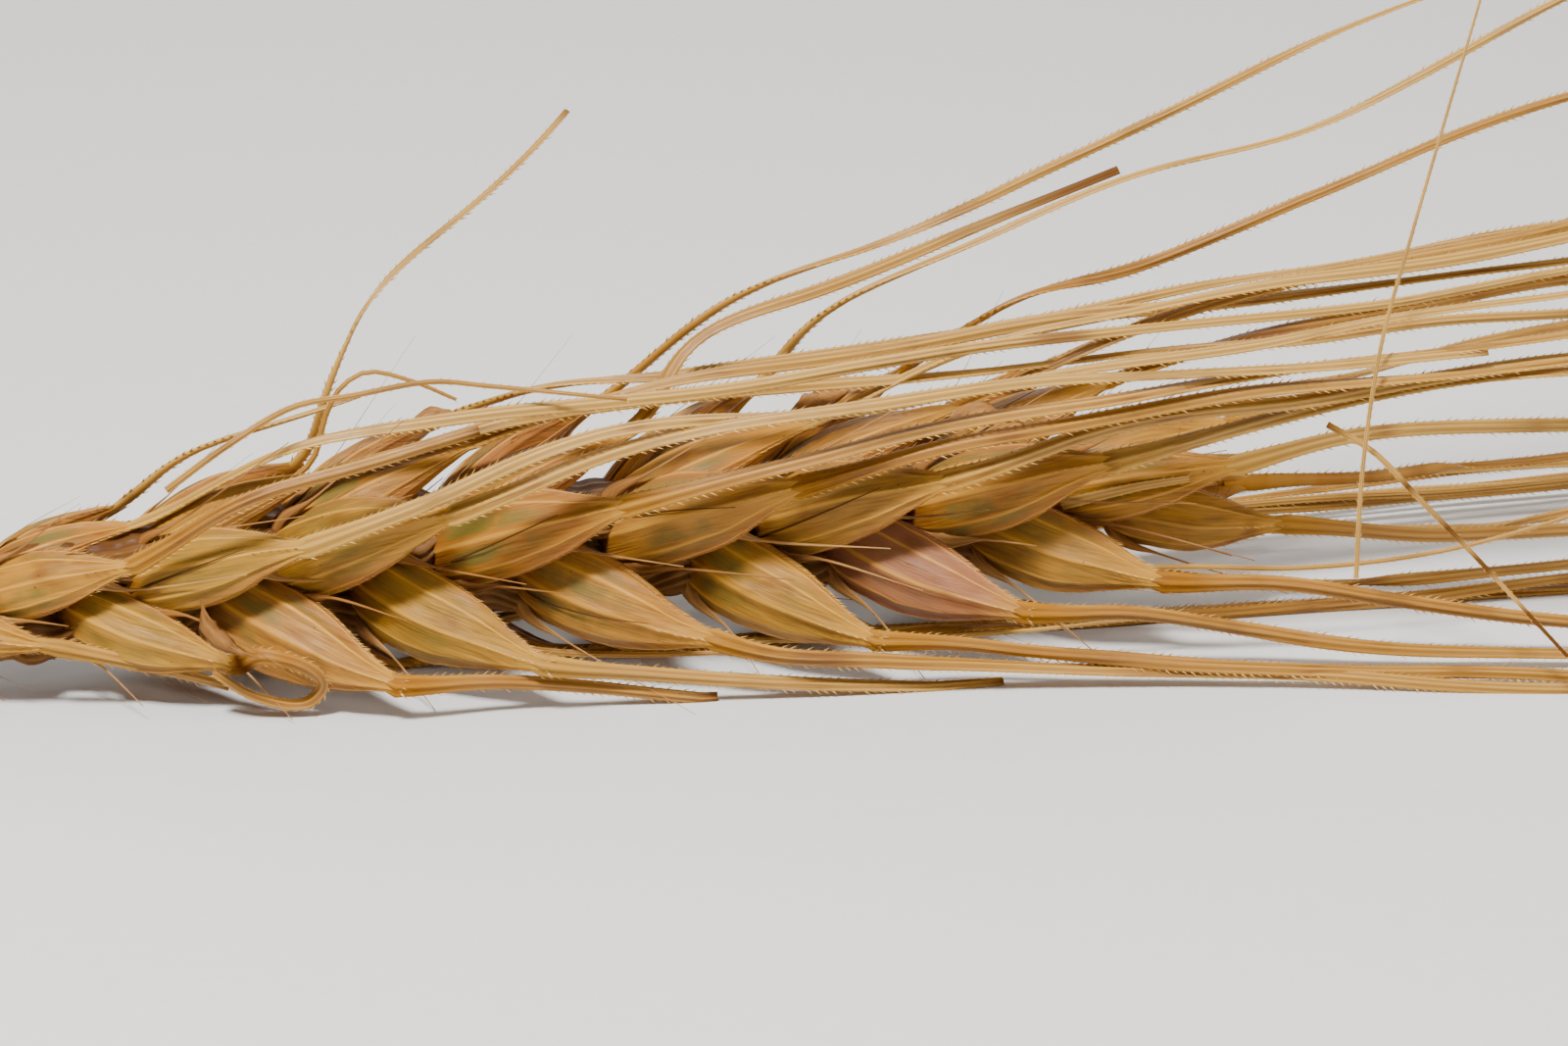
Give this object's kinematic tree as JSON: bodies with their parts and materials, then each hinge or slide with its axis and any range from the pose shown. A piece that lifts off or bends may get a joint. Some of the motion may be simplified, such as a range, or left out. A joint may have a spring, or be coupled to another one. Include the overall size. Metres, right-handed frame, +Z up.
{
  "type": "barley ear",
  "caption": "Dry ear of six-row barley with a short piece of straw, lying on its side, its long barbed awns spread past the tip.",
  "frame": {"origin": "the small flat spot under a lower hull of the ear that it rests on", "axes": "+X along the ear from the cut straw to the awn tips, +Z up from the surface that it lies on"},
  "size_m": [0.1711, 0.0446, 0.0381],
  "materials": {
    "straw": "satin",
    "hull_and_awn": "satin"
  },
  "bodies": {
    "root": {"rachis_and_stem": "straw", "lower_spikelets": "hull_and_awn", "upper_spikelets": "hull_and_awn"}
  },
  "joints": []
}
